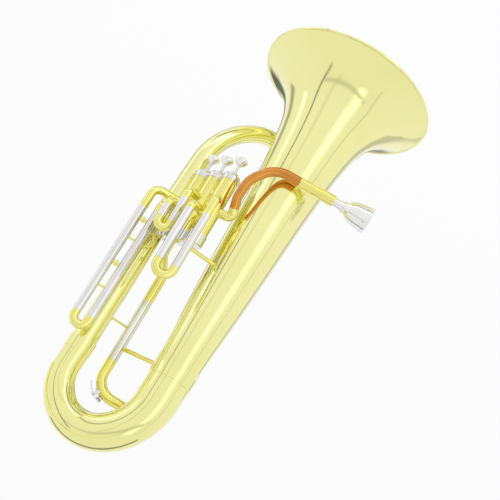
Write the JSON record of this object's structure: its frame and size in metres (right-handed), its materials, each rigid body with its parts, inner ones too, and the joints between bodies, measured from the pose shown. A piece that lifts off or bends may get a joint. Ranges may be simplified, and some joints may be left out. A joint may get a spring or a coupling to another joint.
{
  "type": "euphonium",
  "caption": "Upright three-valve euphonium with a flared bell, front valve slides, a pull-out main tuning slide with a water key, and a removable mouthpiece.",
  "frame": {"origin": "on the bell axis, 3 mm below the lowest point of the bottom bow", "axes": "+Z along the bell axis towards the bell mouth; +X towards the mouthpiece; +Y away from the valve slides, towards the upper bow"},
  "size_m": [0.3101, 0.28, 0.6633],
  "materials": {
    "lacquered_brass": "clear lacquer over polished brass",
    "rose_brass": "clear lacquer over polished rose brass",
    "nickel_silver": "polished nickel silver",
    "nickel_plate": "polished nickel plate",
    "silver_plate": "polished silver plate",
    "piston_plate": "ground nickel plate",
    "spring_steel": "drawn spring wire",
    "felt": "pressed felt",
    "cork": "natural cork"
  },
  "bodies": {
    "instrument": {"bell": "lacquered_brass", "bell_ferrule": "lacquered_brass", "bell_rim_wire": "lacquered_brass", "bottom_bow": "lacquered_brass", "bow_guard": "lacquered_brass", "braces": "lacquered_brass", "branch_ferrules": "lacquered_brass", "leadpipe": "lacquered_brass", "leadpipe_bow": "rose_brass", "leadpipe_elbow": "lacquered_brass", "left_branch": "lacquered_brass", "main_slide_feed": "lacquered_brass", "main_slide_sleeves": "nickel_silver", "rear_tube": "lacquered_brass", "receiver": "lacquered_brass", "slide_1_knuckles": "lacquered_brass", "slide_1_sleeves": "nickel_silver", "slide_2_knuckles": "lacquered_brass", "slide_2_sleeves": "nickel_silver", "slide_3_knuckles": "lacquered_brass", "slide_3_sleeves": "nickel_silver", "strap_ring": "lacquered_brass", "upper_bow": "lacquered_brass", "valve_1_bottom_cap": "nickel_plate", "valve_1_casing": "lacquered_brass", "valve_1_top_cap": "nickel_plate", "valve_2_bottom_cap": "nickel_plate", "valve_2_casing": "lacquered_brass", "valve_2_top_cap": "nickel_plate", "valve_3_bottom_cap": "nickel_plate", "valve_3_casing": "lacquered_brass", "valve_3_top_cap": "nickel_plate", "valve_felts": "felt", "valve_links": "lacquered_brass"},
    "valve_1": {"valve_1_piston": "piston_plate", "valve_1_stem": "piston_plate", "valve_1_button": "silver_plate", "valve_1_spring": "spring_steel"},
    "slide_1": {"slide_1_inner_tubes": "nickel_silver", "slide_1_bow": "lacquered_brass"},
    "valve_2": {"valve_2_piston": "piston_plate", "valve_2_stem": "piston_plate", "valve_2_button": "silver_plate", "valve_2_spring": "spring_steel"},
    "slide_2": {"slide_2_inner_tubes": "nickel_silver", "slide_2_bow": "lacquered_brass"},
    "valve_3": {"valve_3_piston": "piston_plate", "valve_3_stem": "piston_plate", "valve_3_button": "silver_plate", "valve_3_spring": "spring_steel"},
    "slide_3": {"slide_3_inner_tubes": "nickel_silver", "slide_3_bow": "lacquered_brass"},
    "main_slide": {"main_slide_inner_tubes": "nickel_silver", "main_slide_bow": "lacquered_brass", "water_key_saddle": "nickel_plate", "water_key_pin": "nickel_plate", "water_key_spring": "spring_steel"},
    "water_key": {"water_key_lever": "nickel_plate", "water_key_cork": "cork"},
    "mouthpiece_body": {"mouthpiece": "silver_plate"}
  },
  "joints": [
    {"name": "valve_1_press", "type": "slide", "parent": "instrument", "child": "valve_1", "axis": [0.0314, 0, -0.9995], "range_m": [0, 0.0142], "stiffness_N_per_m": 150, "springref_m": -0.03, "deforming": ["valve_1_spring"]},
    {"name": "valve_2_press", "type": "slide", "parent": "instrument", "child": "valve_2", "axis": [0.0314, 0, -0.9995], "range_m": [0, 0.0142], "stiffness_N_per_m": 150, "springref_m": -0.03, "deforming": ["valve_2_spring"]},
    {"name": "valve_3_press", "type": "slide", "parent": "instrument", "child": "valve_3", "axis": [0.0314, 0, -0.9995], "range_m": [0, 0.0142], "stiffness_N_per_m": 150, "springref_m": -0.03, "deforming": ["valve_3_spring"]},
    {"name": "slide_1_pull", "type": "slide", "parent": "instrument", "child": "slide_1", "axis": [0.0314, 0, -0.9995], "range_m": [0, 0.045]},
    {"name": "slide_2_pull", "type": "slide", "parent": "instrument", "child": "slide_2", "axis": [0.0314, 0, -0.9995], "range_m": [0, 0.012]},
    {"name": "slide_3_pull", "type": "slide", "parent": "instrument", "child": "slide_3", "axis": [0.0314, 0, -0.9995], "range_m": [0, 0.09]},
    {"name": "main_slide_pull", "type": "slide", "parent": "instrument", "child": "main_slide", "axis": [0.0314, 0, -0.9995], "range_m": [0, 0.045]},
    {"name": "water_key_turn", "type": "hinge", "parent": "main_slide", "child": "water_key", "pos_m": [-0.08113, 0.06125, 0.07591], "axis": [-0.1146, 0.9934, -0.0036], "range_deg": [0, 12], "stiffness_Nm_per_rad": 0.02, "springref_deg": -20.05},
    {"name": "mouthpiece_draw", "type": "slide", "parent": "instrument", "child": "mouthpiece_body", "axis": [0.9995, 0, 0.0314], "range_m": [0, 0.03]}
  ]
}
